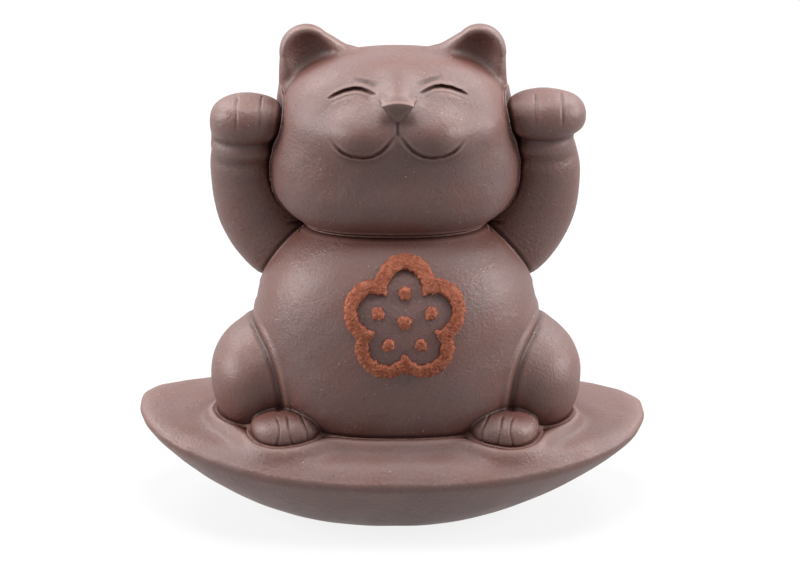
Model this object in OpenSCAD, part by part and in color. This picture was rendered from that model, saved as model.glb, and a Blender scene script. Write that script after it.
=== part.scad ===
// Lucky cat figurine: an unglazed clay cat, both paws raised, seated on a boat-shaped ingot.
// The pieces are pressed hollow, trimmed against one another and luted together with slip.
// Millimetres. The front faces -Y, +Z is up, and the foot of the base stands on Z = 0.
// Left and right are as seen from the front.

/* [Ingot base] */
// Length of the base from tip to tip
base_l = 80; // [76:1:90]
// Depth of the base from front to back
base_d = 52; // [48:1:60]
// Length of the foot that the base stands on
foot_l = 43; // [40:1:50]
// Depth of the foot that the base stands on
foot_d = 30; // [28:1:36]
// Height of the rim at the middle of the front
rim_h = 11; // [10:0.5:14]
// Rise of the left tip above the middle of the rim
tip_rise_left = 5.8; // [3:0.2:8]
// Rise of the right tip above the middle of the rim
tip_rise_right = 4.2; // [3:0.2:8]
// Rise of the seat above the rim
seat_rise = 4.5; // [3.5:0.1:6]
// Wall of the base, measured level
base_wall = 5; // [4:0.5:6]
// Thickness of the slab that closes the foot
slab_t = 3; // [2:0.25:4]
// Width of the ledge that the slab seats against
slab_ledge = 1.5; // [1:0.25:2.5]
// Bore of the kiln vent in the slab
vent_d = 6; // [4:0.5:9]
// Thickness of the bed of slip under the cat
slip_t = 0.7; // [0.4:0.1:1.2]
// Width of the bead of slip pressed out round the cat
bead_w = 1.4; // [0.8:0.1:2]

/* [Torso] */
// Width of the torso
torso_w = 44.6; // [42:0.2:48]
// Depth of the torso
torso_d = 40; // [38:0.5:43]
// Height of the whole rounded torso form
torso_h = 42; // [40:0.5:46]
// Depth that the torso form is sunk into the base
torso_sink = 8; // [6:0.5:10]
// Height trimmed off the top of the torso form for the neck
neck_trim = 3.2; // [2.5:0.1:4.5]
// Clay wall of the torso and the head
wall = 3.2; // [2.5:0.1:4]
// Thickness of the slip in the joints between front and back halves
seam_t = 0.4; // [0.3:0.1:0.8]
// Thickness of the slip ring in the neck joint
neck_ring_t = 0.6; // [0.4:0.1:1.2]
// Bore of the vent through the neck joint
neck_vent_d = 10; // [6:1:14]

/* [Head] */
// Width across the jowls
jowl_w = 39.2; // [37:0.2:42]
// Depth of the jowls from front to back
jowl_d = 33.6; // [31:0.2:36]
// Height of the whole rounded jowl form
jowl_h = 23.6; // [22:0.2:26]
// Height trimmed off the underside of the jowls for the neck
chin_trim = 2.5; // [2:0.1:3.5]
// Width of the crown of the head
crown_w = 36; // [34:0.2:39]
// Depth of the crown of the head
crown_d = 31; // [29:0.2:33]
// Height of the whole rounded crown form
crown_h = 22; // [20:0.2:24]
// Rise of the crown's centre above the jowls' centre
crown_lift = 6; // [5:0.2:8]
// Width of one muzzle pad
pad_w = 12.4; // [11:0.2:14]
// Height of one muzzle pad
pad_h = 8.6; // [7.6:0.2:10]
// Width of the nose
nose_w = 5.2; // [4:0.2:6.4]
// Width of the lines for the eyes, mouth and toes
line_w = 0.6; // [0.5:0.1:1]
// Depth of the lines for the eyes, mouth and toes
line_depth = 0.5; // [0.3:0.1:0.8]

/* [Ears] */
// Distance of each ear tip from the middle of the head
ear_x = 14; // [13:0.2:15]
// Height of the ears above the crown
ear_h = 4.5; // [3:0.1:6]
// Width of an ear at its root
ear_w = 13; // [12:0.2:15]
// Width of the round tip of an ear
ear_tip_w = 8.2; // [7:0.2:9.4]
// Thickness of an ear
ear_t = 5; // [4:0.2:6]

/* [Arms] */
// Thickness of the upper arm
arm_d = 13.6; // [12.6:0.2:15]
// Width of the left paw
paw_w = 12; // [11:0.2:13.4]
// Depth of a paw
paw_d = 11.6; // [10.6:0.2:13]
// Height of a paw
paw_h = 9.2; // [8.4:0.2:10.4]
// Extra width of the right paw
paw_extra = 0.8; // [0:0.1:1.2]
// How much higher the right paw is held
paw_lift = 0.8; // [0:0.1:2]

/* [Legs and tail] */
// Width of a thigh
thigh_w = 16.6; // [15:0.2:18]
// Length of a thigh from knee to hip
thigh_l = 26; // [24:0.5:29]
// Height of a thigh
thigh_h = 16.6; // [15.6:0.2:19]
// Turn of the knees away from the front
thigh_turn = 14; // [10:1:20]
// Width of a foot
toe_w = 10.6; // [9.6:0.2:12]
// Length of a foot
toe_l = 12.6; // [11.4:0.2:14]
// Height of a foot
toe_h = 6.4; // [5.8:0.2:7.6]
// Thickness of the tail
tail_d = 6.2; // [5.4:0.2:7.6]

/* [Belly ornament] */
// Width of the blossom on the belly
blossom_w = 19; // [15:0.5:21]
// Width of the blossom's outline
blossom_line = 2; // [1.4:0.1:2.6]
// Height of the blossom above the belly
blossom_t = 0.9; // [0.6:0.1:1.5]

/* [Hidden] */

// Colours of the fired clays
dark_clay = "#75605d";
pale_slip = "#9a827c";
red_clay = "#b4694f";

// Roundness of the forms: 2 is an ellipse and more is squarer
base_round = 2.25;
torso_round = 2.4;
jowl_round = 2.4;
crown_round = 2.7;
limb_round = 2.3;

// Shape of the base: how fast the tips rise, the side swells and the seat falls to the rim
tip_power = 2.2;
side_power = 0.75;
seat_power = 6;
base_steps = 7;
base_sides = 48;

// Facets round a torso or head, a hollow, and a limb
body_sides = 36;
hollow_sides = 24;
limb_sides = 18;

// Room for slip between the slab and its recess
slip_gap = 0.15;

// A length that reaches past the whole figure
far = 200;

// Places, each from the piece that it stands on
seam_y = -0.5;
torso_y = -1.5;
seat_z = rim_h + seat_rise;
bed_z = seat_z + slip_t;
torso_c = [0, torso_y, seat_z + torso_h / 2 - torso_sink];
neck_z = torso_c.z + torso_h / 2 - neck_trim;
chin_z = neck_z + neck_ring_t;
jowl_c = [0, torso_y + 0.5, chin_z + jowl_h / 2 - chin_trim];
crown_c = jowl_c + [0, 1.5, crown_lift];
crown_z = crown_c.z + crown_h / 2;
belly_y = torso_c.y - torso_d / 2;
back_y = torso_c.y + torso_d / 2;
face_y = jowl_c.y - jowl_d / 2;
jowl_x = jowl_w / 2;
torso_x = torso_w / 2;

// Muzzle, nose and eyes, from the crown and the front of the face
pad_depth = 12;
pad_x = pad_w / 2 - 1;
pad_c = [pad_x, face_y + 4.3, crown_c.z + 2.3];
nose_r = 0.9;
nose_z = pad_c.z + pad_h / 2 + 0.2;
nose_y = pad_c.y - 4;
eye_x = 7;
eye_r = 6.2;
eye_z = crown_z - 3;
eye_sweep = 34;
mouth_r = [pad_w, pad_h] / 2 - 1.2 * [1, 1];

// Ears, neck joint, shoulder to paw, knee to toe
ear_y = 3;
neck_ring_w = 0.65 * torso_w;
neck_ring_d = 0.675 * torso_d;
wrist_x = jowl_x + 0.29 * arm_d;
wrist_z = chin_z + 0.81 * arm_d;
wrist_r = 0.4 * arm_d;
arm_path = [
    [torso_x - 0.54 * arm_d, 0.18 * arm_d, chin_z - 0.46 * arm_d, 0.4 * arm_d],
    [torso_x - 0.28 * arm_d, 0.18 * arm_d, chin_z - 0.23 * arm_d, 0.46 * arm_d],
    [jowl_x + 0.11 * arm_d, 0.11 * arm_d, chin_z + 0.12 * arm_d, 0.5 * arm_d],
    [wrist_x - 0.04 * arm_d, -0.02 * arm_d, chin_z + 0.52 * arm_d, 0.44 * arm_d]
];
paw_x = jowl_x + 0.25 * arm_d;
paw_y = -0.26 * paw_d;
paw_z = wrist_z + 0.47 * paw_h;
thigh_c = [torso_x - 1.7, torso_y - 1.5, seat_z + thigh_h / 2 - 1.1];
toe_c = [torso_x - toe_w / 2, belly_y + 0.373 * toe_l, seat_z + toe_h / 2 - 1.1];
toe_turn = 8;

// The tail, curled round the back of the seat to one side
tail_r = tail_d / 2;
tail_z = bed_z + 0.75 * tail_r;
tail_path = [
    [0, back_y - 0.32 * tail_d, tail_z + 0.65 * tail_d, tail_r],
    [0.22 * torso_x, back_y + 0.19 * tail_d, tail_z + 0.16 * tail_d, tail_r],
    [0.49 * torso_x, back_y - 0.08 * tail_d, tail_z, tail_r],
    [0.72 * torso_x, back_y - 0.73 * tail_d, tail_z, 0.9 * tail_r],
    [0.87 * torso_x, back_y - 1.45 * tail_d, tail_z, 0.74 * tail_r]
];

// Blossom on the belly
petals = 5;
blossom_c = [0.08 * blossom_w, torso_c.z + torso_h / 6];
petal_r = blossom_w / 4;
petal_at = blossom_w / 2 - petal_r;
stamen_r = blossom_line / 2;
pip_r = blossom_line * 0.45;
pip_at = petal_at - pip_r / 2;

// A power that keeps the sign
function bulge(v, n) = sign(v) * pow(abs(v), 2 / n);

// A level oval ring of points, squarer as n grows
function oval(half, n, sides, z = 0) = [
    for (i = [0:sides - 1])
        [half.x * bulge(cos(360 * i / sides), n), half.y * bulge(sin(360 * i / sides), n), z]
];

// Height of the rim at x
function rim_z(x) =
    rim_h + (x < 0 ? tip_rise_left : tip_rise_right) * pow(abs(x) / (base_l / 2), tip_power);

// Height of the top of the base at share t of the way out to the rim
function top_z(x, t) =
    rim_z(x) + seat_rise * (1 - pow(t, seat_power)) * (1 - pow(x / (base_l / 2), 2));

// Half sizes of the base at share s of the way up to the rim
function side_half(s) =
    let (share = pow(s, side_power))
    [foot_l + (base_l - foot_l) * share, foot_d + (base_d - foot_d) * share] / 2;

// One ring of the side of the base
function side_ring(s) =
    let (rim = oval([base_l, base_d] / 2, base_round, base_sides))
    let (ring = oval(side_half(s), base_round, base_sides))
    [for (i = [0:base_sides - 1]) [ring[i].x, ring[i].y, s * rim_z(rim[i].x)]];

// One ring of the top of the base
function top_ring(t) = [
    for (p = oval([base_l, base_d] / 2 * t, base_round, base_sides)) [p.x, p.y, top_z(p.x, t)]
];

// A closed skin over level rings, from the point below to the point above
module skin(rings, low, high) {
    n = len(rings[0]);
    m = len(rings);
    points = [low, for (ring = rings) each ring, high];
    last = len(points) - 1;
    faces = [
        for (i = [0:n - 1]) [0, 1 + i, 1 + (i + 1) % n],
        for (j = [0:m - 2], i = [0:n - 1])
            let (a = 1 + j * n + i, b = 1 + j * n + (i + 1) % n)
            each [[a, a + n, b + n], [a, b + n, b]],
        for (i = [0:n - 1]) [last, 1 + (m - 1) * n + (i + 1) % n, 1 + (m - 1) * n + i]
    ];
    polyhedron(points, faces);
}

// A rounded form of full sizes size, squarer as n grows
module blob(size, n, sides) {
    half = size / 2;
    steps = sides / 2;
    rings = [
        for (j = [1:steps - 1])
            let (lift = -90 + 180 * j / steps)
            oval(half * bulge(cos(lift), n), n, sides, half.z * bulge(sin(lift), n))
    ];
    skin(rings, [0, 0, -half.z], [0, 0, half.z]);
}

// Fired clay: its children as one closed body in one colour
module clay(tint) {
    color(tint) resize([0, 0, 0]) children();
}

// Tube with round joints through points [x, y, z, radius]
module limb(points) {
    for (i = [0:len(points) - 2])
        hull()
            for (p = [points[i], points[i + 1]])
                translate([p.x, p.y, p.z]) sphere(r = p[3], $fn = limb_sides);
}

// Everything between two values of Y
module between_y(low, high) {
    translate([-far / 2, low, -far / 2]) cube([far, high - low, far]);
}

// Everything above a height
module above(z) {
    translate([-far / 2, -far / 2, z]) cube([far, far, far]);
}

// Everything below a height
module below(z) {
    translate([-far / 2, -far / 2, z - far]) cube([far, far, far]);
}

// Flat lines on the front, cut back through the form from its front
module from_front(depth) {
    rotate([90, 0, 0]) linear_extrude(depth) children();
}

// A line of even width through flat points
module stroke(points, width) {
    for (i = [0:len(points) - 2])
        hull()
            for (p = [points[i], points[i + 1]]) translate(p) circle(d = width, $fn = 12);
}

// Solid form of the base
module ingot_form() {
    sides = [for (i = [0:base_steps]) side_ring(i / base_steps)];
    tops = [for (t = [0.96, 0.9, 0.82, 0.72, 0.6, 0.4, 0.2]) top_ring(t)];
    skin(concat(sides, tops), [0, 0, 0], [0, 0, seat_z]);
}

// Hollow of the base above the slab
module ingot_hollow() {
    levels = [for (i = [0:4]) slab_t + (rim_h - base_wall / 2 - slab_t) * i / 4];
    rings = [
        for (z = levels)
            let (half = side_half(z / rim_h) - [2, 1.2] * base_wall)
            oval(half, base_round, hollow_sides, z)
    ];
    skin(rings, [0, 0, slab_t], [0, 0, levels[4]]);
}

// Flat outline of the slab that closes the foot
module slab_form(gap) {
    r = foot_d / 2 - base_wall + slab_ledge - gap;
    reach = (foot_l - foot_d) / 2;
    for (x = [-reach, reach]) translate([x, 0, 0]) cylinder(r = r, h = slab_t, $fn = 48);
    translate([-reach, -r, 0]) cube([2 * reach, 2 * r, slab_t]);
}

// Torso form, swollen by grow
module torso_form(grow = 0, sides = body_sides) {
    swell = 2 * [grow, grow, grow];
    translate(torso_c) blob([torso_w, torso_d, torso_h] + swell, torso_round, sides);
}

// Head form without its face, swollen by grow
module head_form(grow = 0, sides = body_sides) {
    swell = 2 * [grow, grow, grow];
    hull() {
        translate(crown_c) blob([crown_w, crown_d, crown_h] + swell, crown_round, sides);
        translate(jowl_c) blob([jowl_w, jowl_d, jowl_h] + swell, jowl_round, sides);
    }
}

// Muzzle pads and nose, swollen by grow
module muzzle_form(grow = 0) {
    swell = 2 * [grow, grow, grow];
    for (side = [-1, 1])
        translate([side * pad_c.x, pad_c.y, pad_c.z])
            blob([pad_w, pad_depth, pad_h] + swell, 2, limb_sides);
    hull() {
        for (x = [-1, 1] * (nose_w / 2 - nose_r))
            translate([x, nose_y, nose_z]) sphere(r = nose_r + grow, $fn = limb_sides);
        translate([0, nose_y - 1, nose_z - nose_w / 2]) sphere(r = nose_r + grow, $fn = limb_sides);
        translate([0, crown_c.y - crown_d / 3, nose_z]) sphere(r = nose_r + grow, $fn = limb_sides);
    }
}

// Eye and mouth lines, flat
module face_lines() {
    for (side = [-1, 1]) {
        eye = [
            for (a = [-eye_sweep:eye_sweep / 4:eye_sweep])
                [side * (eye_x + eye_r * sin(a)), eye_z - eye_r * (1 - cos(a))]
        ];
        mouth = [
            for (a = [-70:20:70])
                [side * (pad_c.x + mouth_r.x * sin(a)), pad_c.z - mouth_r.y * cos(a)]
        ];
        stroke(eye, line_w);
        stroke(mouth, line_w);
    }
}

// Face with its lines cut in
module face_form() {
    difference() {
        union() {
            head_form();
            muzzle_form();
        }
        difference() {
            from_front(far) face_lines();
            head_form(-line_depth);
            muzzle_form(-line_depth);
        }
    }
}

// The hollow in the head, with the vent down into the torso
module head_hollow() {
    head_form(-wall, hollow_sides);
    translate([0, jowl_c.y, neck_z]) cylinder(d = neck_vent_d, h = wall + chin_trim, $fn = hollow_sides);
}

// The hollow in the torso, with the vent up into the head and down into the base
module torso_hollow() {
    intersection() {
        torso_form(-wall, hollow_sides);
        above(bed_z + wall);
    }
    translate([0, jowl_c.y, neck_z - wall]) cylinder(d = neck_vent_d, h = 2 * wall, $fn = hollow_sides);
    cylinder(d = vent_d, h = torso_c.z, $fn = hollow_sides);
}

// Slip pressed out of the neck joint, open at the vent
module neck_ring_form() {
    rim = oval([neck_ring_w, neck_ring_d] / 2, torso_round, body_sides);
    translate([0, jowl_c.y, neck_z])
        linear_extrude(neck_ring_t)
            difference() {
                polygon([for (p = rim) [p.x, p.y]]);
                circle(d = neck_vent_d, $fn = hollow_sides);
            }
}

// One raised paw with its toe lines, and its arm; wide and lift set the right one apart
module arm_form(wide, lift) {
    size = [paw_w + wide, paw_d, paw_h];
    paw_c = [paw_x + wide / 2, paw_y, paw_z + lift];
    toes = [
        for (share = [-1, 1])
            [[paw_c.x + share * size.x / 6, paw_c.z - 1], [paw_c.x + share * size.x / 6, paw_c.z + paw_h]]
    ];
    wrist = [wrist_x, paw_y / 2, wrist_z + lift, wrist_r];
    palm = [paw_c.x, paw_c.y, paw_c.z, 0.43 * paw_h];
    limb(concat(arm_path, [wrist, palm]));
    difference() {
        translate(paw_c) blob(size, limb_round, limb_sides);
        difference() {
            from_front(far) for (toe = toes) stroke(toe, line_w);
            translate(paw_c) blob(size - 2 * line_depth * [1, 1, 1], limb_round, limb_sides);
        }
    }
}

// One thigh
module thigh_form() {
    translate(thigh_c) rotate([0, 0, thigh_turn])
        blob([thigh_w, thigh_l, thigh_h], limb_round, limb_sides);
}

// One foot, swollen by grow
module foot_form(grow = 0) {
    swell = 2 * [grow, grow, grow];
    translate(toe_c) rotate([0, 0, -toe_turn])
        blob([toe_w, toe_l, toe_h] + swell, limb_round, limb_sides);
}

// Toe lines of one foot
module foot_lines() {
    difference() {
        translate([0, toe_c.y, 0]) from_front(far)
            for (x = [toe_c.x - toe_w / 6, toe_c.x + toe_w / 6])
                stroke([[x, toe_c.z - toe_h], [x, toe_c.z + toe_h]], line_w);
        foot_form(-line_depth);
    }
}

// One ear: a scooped round-cornered triangle
module ear_form() {
    r = ear_t / 2;
    outer = [ear_x + ear_w / 2 - r - 2.2, ear_y, crown_z - 8];
    inner = [ear_x - ear_w / 2 + r - 1.8, ear_y - 1, crown_z - 2.6];
    tip = [ear_x, ear_y, crown_z + ear_h - ear_tip_w / 2];
    difference() {
        hull() {
            for (p = [outer, inner]) translate(p) sphere(r = r, $fn = limb_sides);
            translate(tip) blob([ear_tip_w, ear_t, ear_tip_w], 2, limb_sides);
        }
        translate(tip - [0.6, ear_t, 2])
            blob([ear_w - 4, 1.5 * ear_t, ear_tip_w + 1.4], 2, limb_sides);
    }
}

// Both sides of a paired form
module pair() {
    children();
    mirror([1, 0, 0]) children();
}

// One side of a paired form
module one(side) {
    mirror([side < 0 ? 1 : 0, 0, 0]) children();
}

// Share of a rounded form's width that is left at a drop below its middle
function girth(half, drop, n) = pow(1 - pow(min(drop / half, 0.95), n), 1 / n);

// Flat outline of a rounded form where it meets its seat
module print_of(size, centre, n) {
    half = [size.x, size.y] / 2 * girth(size.z / 2, centre.z - bed_z, n);
    polygon([for (p = oval(half, n, limb_sides)) [p.x, p.y]]);
}

// Flat outline of the cat where it meets the base
module footprint() {
    translate([torso_c.x, torso_c.y]) print_of([torso_w, torso_d, torso_h], torso_c, torso_round);
    for (side = [-1, 1]) {
        translate([side * thigh_c.x, thigh_c.y]) rotate(side * thigh_turn)
            print_of([thigh_w, thigh_l, thigh_h], thigh_c, limb_round);
        translate([side * toe_c.x, toe_c.y]) rotate(-side * toe_turn)
            print_of([toe_w, toe_l, toe_h], toe_c, limb_round);
    }
    for (i = [0:len(tail_path) - 2])
        hull()
            for (p = [tail_path[i], tail_path[i + 1]])
                translate([p.x, p.y]) circle(r = 0.87 * p[3], $fn = limb_sides);
}

// Flat five-petalled blossom with its pips
module blossom() {
    module petal_set(r) {
        for (i = [0:petals - 1])
            rotate(90 + 360 * i / petals) translate([petal_at, 0]) circle(r = r, $fn = 24);
    }
    difference() {
        petal_set(petal_r);
        petal_set(petal_r - blossom_line);
        circle(r = petal_at, $fn = 24);
    }
    circle(r = stamen_r, $fn = 16);
    for (i = [0:petals - 1])
        rotate(90 + 360 * i / petals) translate([pip_at, 0]) circle(r = pip_r, $fn = 12);
}

// Slab that closes the underside, with the kiln vent
module foot_slab() {
    color(dark_clay)
        difference() {
            slab_form(slip_gap);
            translate([0, 0, -1]) cylinder(d = vent_d, h = slab_t + 2, $fn = 32);
        }
}

// Hollow boat-shaped base
module ingot_shell() {
    clay(dark_clay)
        difference() {
            ingot_form();
            ingot_hollow();
            slab_form(0);
            cylinder(d = vent_d, h = far, $fn = hollow_sides);
        }
}

// Bed of sandy slip that lutes the cat to the base, pressed out round it as a bead
module seat_slip() {
    clay(pale_slip)
        difference() {
            intersection() {
                linear_extrude(bed_z) offset(r = bead_w, $fn = limb_sides) footprint();
                translate([0, 0, bed_z - rim_h]) ingot_form();
            }
            ingot_form();
            cylinder(d = vent_d, h = far, $fn = hollow_sides);
        }
}

// Torso with its hollow, trimmed at the neck and the seat
module torso_body() {
    difference() {
        torso_form();
        torso_hollow();
        above(neck_z);
        below(bed_z);
    }
}

// Front half of the torso
module torso_front_shell() {
    clay(dark_clay)
        intersection() {
            torso_body();
            between_y(-far, seam_y - seam_t / 2);
        }
}

// Back half of the torso
module torso_back_shell() {
    clay(dark_clay)
        intersection() {
            torso_body();
            between_y(seam_y + seam_t / 2, far);
        }
}

// Slip in the joint between the halves of the torso
module torso_seam_slip() {
    clay(pale_slip)
        intersection() {
            torso_body();
            between_y(seam_y - seam_t / 2, seam_y + seam_t / 2);
        }
}

// Ring of slip in the neck joint
module neck_slip_ring() {
    clay(pale_slip) neck_ring_form();
}

// Front half of the head, with muzzle, nose and eyes
module face_shell() {
    clay(dark_clay)
        intersection() {
            difference() {
                face_form();
                head_hollow();
            }
            above(chin_z);
            between_y(-far, seam_y - seam_t / 2);
        }
}

// Head without its face, with its hollow
module head_body() {
    difference() {
        head_form();
        head_hollow();
        below(chin_z);
    }
}

// Back half of the head
module head_back_shell() {
    clay(dark_clay)
        intersection() {
            head_body();
            between_y(seam_y + seam_t / 2, far);
        }
}

// Slip in the joint between the halves of the head
module head_seam_slip() {
    clay(pale_slip)
        intersection() {
            head_body();
            between_y(seam_y - seam_t / 2, seam_y + seam_t / 2);
        }
}

// One ear, trimmed to the head
module ear(side) {
    clay(dark_clay)
        difference() {
            one(side) ear_form();
            head_form();
        }
}

// One raised arm, trimmed to the torso and the head
module arm(side, wide, lift) {
    clay(dark_clay)
        difference() {
            one(side) arm_form(wide, lift);
            torso_form();
            head_form();
            neck_ring_form();
            one(side) ear_form();
        }
}

// One thigh, trimmed to the torso and the base
module thigh(side) {
    clay(dark_clay)
        difference() {
            one(side) thigh_form();
            torso_form();
            below(bed_z);
        }
}

// One foot, trimmed to the thigh, the torso and the base
module foot(side) {
    clay(dark_clay)
        difference() {
            one(side) foot_form();
            one(side) foot_lines();
            one(side) thigh_form();
            torso_form();
            below(bed_z);
        }
}

// Tail, trimmed to the torso, the thigh and the base
module tail() {
    clay(dark_clay)
        difference() {
            limb(tail_path);
            torso_form();
            pair() thigh_form();
            below(bed_z);
        }
}

// Raised blossom of red clay on the belly
module belly_ornament() {
    clay(red_clay)
        intersection() {
            difference() {
                torso_form(blossom_t);
                torso_form();
            }
            translate([blossom_c.x, 0, blossom_c.y]) from_front(far) blossom();
        }
}

foot_slab();
ingot_shell();
seat_slip();
torso_front_shell();
torso_back_shell();
torso_seam_slip();
neck_slip_ring();
face_shell();
head_back_shell();
head_seam_slip();
ear(-1);  // left_ear
ear(1);  // right_ear
arm(-1, 0, 0);  // left_arm
arm(1, paw_extra, paw_lift);  // right_arm
thigh(-1);  // left_thigh
thigh(1);  // right_thigh
foot(-1);  // left_foot
foot(1);  // right_foot
tail();
belly_ornament();
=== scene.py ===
"""Lucky cat figurine: unglazed stoneware, both paws raised, seated on a boat-shaped ingot.

The clay forms are written as distances in millimetres, so that they swell into one another as pressed
clay does. Each piece is the part of the figure that lies nearest to its own form.
"""

import math

import bpy
import numpy as np
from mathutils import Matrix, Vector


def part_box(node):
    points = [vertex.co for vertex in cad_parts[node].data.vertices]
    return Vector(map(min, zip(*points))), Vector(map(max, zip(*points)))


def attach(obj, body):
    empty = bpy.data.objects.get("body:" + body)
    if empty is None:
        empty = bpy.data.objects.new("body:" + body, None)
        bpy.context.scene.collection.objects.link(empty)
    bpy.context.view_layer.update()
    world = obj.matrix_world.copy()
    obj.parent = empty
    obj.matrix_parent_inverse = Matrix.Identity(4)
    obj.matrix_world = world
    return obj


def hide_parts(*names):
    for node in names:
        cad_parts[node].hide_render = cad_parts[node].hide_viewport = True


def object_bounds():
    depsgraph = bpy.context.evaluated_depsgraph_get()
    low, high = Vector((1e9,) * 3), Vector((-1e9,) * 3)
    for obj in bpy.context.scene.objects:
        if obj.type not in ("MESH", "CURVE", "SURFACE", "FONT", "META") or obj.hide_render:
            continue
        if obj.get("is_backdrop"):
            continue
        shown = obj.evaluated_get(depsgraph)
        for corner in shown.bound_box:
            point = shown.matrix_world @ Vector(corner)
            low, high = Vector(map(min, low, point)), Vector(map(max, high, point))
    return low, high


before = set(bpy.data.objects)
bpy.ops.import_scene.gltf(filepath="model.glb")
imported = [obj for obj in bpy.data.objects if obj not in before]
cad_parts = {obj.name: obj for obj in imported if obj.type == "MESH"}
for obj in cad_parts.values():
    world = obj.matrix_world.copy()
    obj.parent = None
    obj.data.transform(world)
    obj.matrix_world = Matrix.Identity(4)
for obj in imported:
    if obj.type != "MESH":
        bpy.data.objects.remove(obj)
CAD_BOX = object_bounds()

bl_info = {
    "name": "Lucky cat figurine",
    "version": (1, 0, 0),
    "blender": (4, 5, 0),
    "location": "View3D > Sidebar > Lucky cat",
    "description": "Makes a press-moulded stoneware cat on an ingot base",
    "category": "Object",
}

MM = 0.001
BODY = "root"


def span(*nodes):
    """Lowest and highest corner of CAD nodes taken together, in millimetres."""
    boxes = [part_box(node) for node in nodes]
    low = np.min([box[0] for box in boxes], axis=0) / MM
    high = np.max([box[1] for box in boxes], axis=0) / MM
    return low, high


def linear(code):
    """Linear colour of an sRGB hex value."""
    parts = [int(code[i:i + 2], 16) / 255 for i in (1, 3, 5)]
    return tuple(c / 12.92 if c <= 0.04045 else ((c + 0.055) / 1.055) ** 2.4 for c in parts)


# Places and sizes taken from the CAD pieces, in millimetres
BASE_HIGH = span("ingot_shell")[1]
TORSO_LOW, TORSO_HIGH = span("torso_front_shell", "torso_back_shell")
HEAD_HIGH = span("head_back_shell")[1]
EAR_HIGH = span("right_ear")[1]
SLAB_HIGH = span("foot_slab")[1]
SEAM_LOW, SEAM_HIGH = span("head_seam_slip")
BLOSSOM_LOW, BLOSSOM_HIGH = span("belly_ornament")
SEAM_Y = (SEAM_LOW[1] + SEAM_HIGH[1]) / 2
CROWN_Z = HEAD_HIGH[2]

# Lines pressed into the face: across and up it, the lids and brows as seen from a little above
SEEN_SLOPE = 0.3
LID = ((3.3, 65.45), (4.4, 66.15), (5.5, 66.65), (6.6, 66.8), (8.1, 66.5), (9.6, 65.85), (10.7, 65.15))
BROW = ((2.9, 66.9), (4.4, 67.5), (5.2, 67.75), (6.8, 68.3))
SMILE = (
    (0.2, 64.4), (0.75, 63.8), (1.5, 62.8), (2.5, 61.75), (3.7, 61.0), (5.05, 60.65), (6.8, 60.8),
    (8.2, 61.4), (9.1, 62.1), (10.3, 63.5))
# How deep the lids, the pouch that lies this far below them, the brows and the smile are pressed
LID_DEPTH, POUCH_DEPTH, POUCH_DROP, BROW_DEPTH, SMILE_DEPTH = 0.75, 0.12, 1.15, 0.24, 0.3
# Rise of the clay pushed out below the smile
LIP_RISE = 0.12
# The face sits a little off the middle of the head, and leans
FACE_X, FACE_LEAN = 0.45, 0.034

# Raised arms from the shoulder to the wrist and palm: outward, back, up and radius
LEFT_ARM = (
    (15.0, 3.2, 40.6, 6.9),
    (18.6, 3.4, 43.6, 7.3),
    (21.5, 2.6, 48.2, 6.9),
    (23.1, 0.8, 54.0, 6.0),
    (23.3, -0.8, 57.6, 5.45),
    (23.4, -2.0, 60.6, 5.1),
    (22.9, -3.0, 63.2, 3.4),
)
RIGHT_ARM = (
    (15.2, 3.2, 40.6, 6.9),
    (18.8, 3.4, 43.6, 7.4),
    (21.7, 2.6, 48.2, 7.0),
    (23.2, 0.8, 54.0, 6.0),
    (22.9, -1.0, 58.8, 5.1),
    (23.3, -3.0, 63.9, 3.4),
)
TAIL_PATH = (
    (0.0, 16.5, 22.6, 3.1),
    (4.9, 19.7, 19.5, 3.1),
    (10.9, 18.0, 18.5, 3.1),
    (16.0, 14.0, 18.5, 2.8),
    (19.4, 9.5, 18.5, 2.3),
)


# Distances

# Farther away than anything in the figure, in millimetres
FAR = 50.0


def rounded(x, y, z, centre, half, n):
    """Distance, near its surface, to a rounded form: 2 is an ellipsoid and more is squarer."""
    total = 0
    slope = 0
    for value, middle, reach in zip((x, y, z), centre, half):
        share = np.abs(value - middle) / reach + 1e-3
        total = total + share ** n
        slope = slope + share ** (2 * n - 2) / reach ** 2
    k = total ** (1 / n)
    return (k - 1) * total / (k * np.sqrt(slope))


def blend(a, b, k):
    """The nearer of two distances, with a fillet of size k between them."""
    rest = np.maximum(k - np.abs(a - b), 0) / k
    return np.minimum(a, b) - rest * rest * k / 4


def trim(a, b, k):
    """The farther of two distances, with an edge rounded by k."""
    return -blend(-a, -b, k)


def turned(x, y, middle, angle):
    """Level coordinates turned about a point."""
    c, s = math.cos(angle), math.sin(angle)
    u, v = x - middle[0], y - middle[1]
    return middle[0] + c * u + s * v, middle[1] - s * u + c * v


def flowing(path, steps=3):
    """Smooth curve through the points of a path, with its radius."""
    p = np.array([path[0], *path, path[-1]])
    out = []
    for a, b, c, d in zip(p[:-3], p[1:-2], p[2:-1], p[3:]):
        for t in np.arange(steps) / steps:
            out.append(b + (c - a) * t / 2 + (a - 2.5 * b + 2 * c - d / 2) * t ** 2
                       + (1.5 * (b - c) + (d - a) / 2) * t ** 3)
    return [*out, p[-1]]


def limb(place, path):
    """Distance, in space or in a plane, to a tapering tube through points that end with its radius."""
    out = None
    for a, b in zip(path[:-1], path[1:]):
        run = [q - p for p, q in zip(a[:-1], b[:-1])]
        long = sum(r * r for r in run)
        t = np.clip(sum((v - p) * r for v, p, r in zip(place, a, run)) / long, 0, 1)
        off = np.sqrt(sum((v - p - t * r) ** 2 for v, p, r in zip(place, a, run)))
        d = off - (a[-1] + (b[-1] - a[-1]) * t)
        out = d if out is None else np.minimum(out, d)
    return out


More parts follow.
